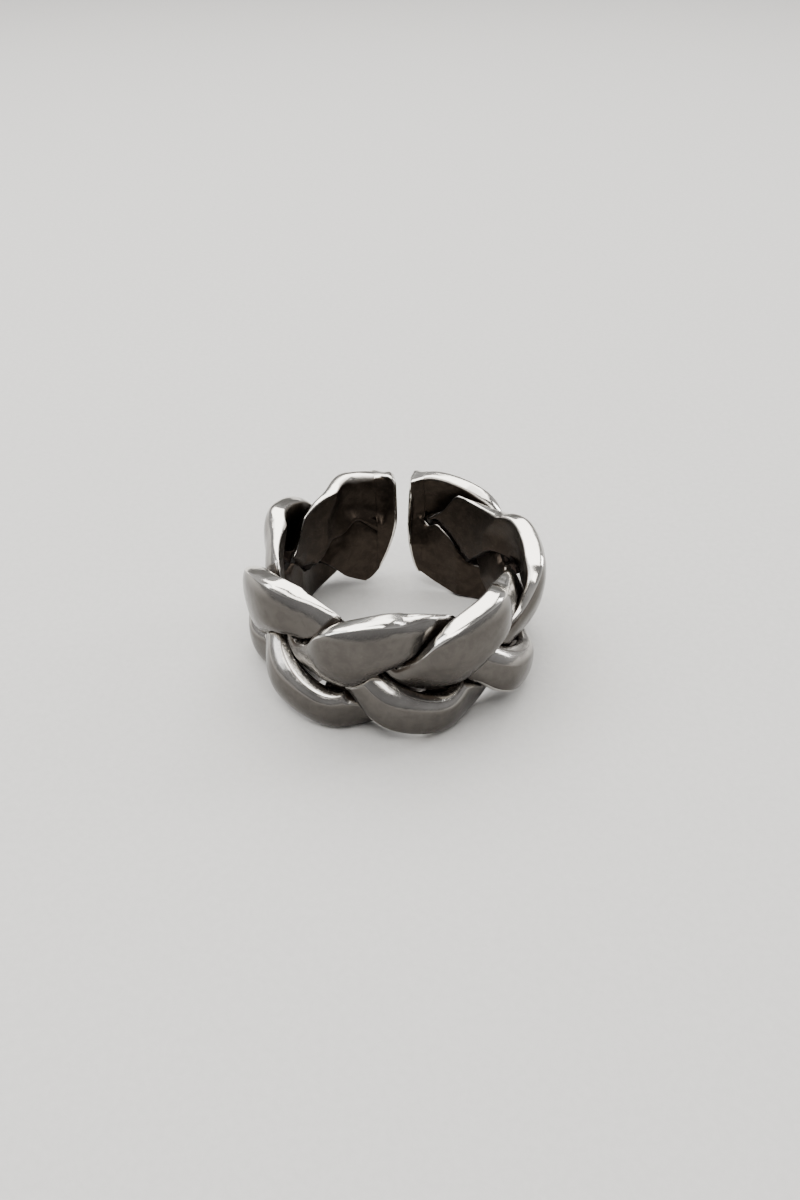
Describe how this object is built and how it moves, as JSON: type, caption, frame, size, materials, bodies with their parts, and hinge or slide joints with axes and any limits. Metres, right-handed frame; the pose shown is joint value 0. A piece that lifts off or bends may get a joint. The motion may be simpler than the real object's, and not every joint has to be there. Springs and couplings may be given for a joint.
{
  "type": "chain ring",
  "caption": "Open finger ring plaited from flat rounded metal strands, with a solid upright end on each side of a narrow gap at the back.",
  "frame": {"origin": "on the finger hole's axis, at the height of the plait's lowest points, where it stands on the floor", "axes": "+Z along the finger hole's axis, +Y towards the gap, +X to the right as seen from the front"},
  "size_m": [0.0231, 0.0228, 0.0106],
  "materials": {
    "silver": "soft-polished silver, darkened in the grooves and inside"
  },
  "bodies": {
    "root": {"strand_a": "silver", "strand_b": "silver", "strand_c": "silver", "end_left": "silver", "end_right": "silver"}
  },
  "joints": []
}
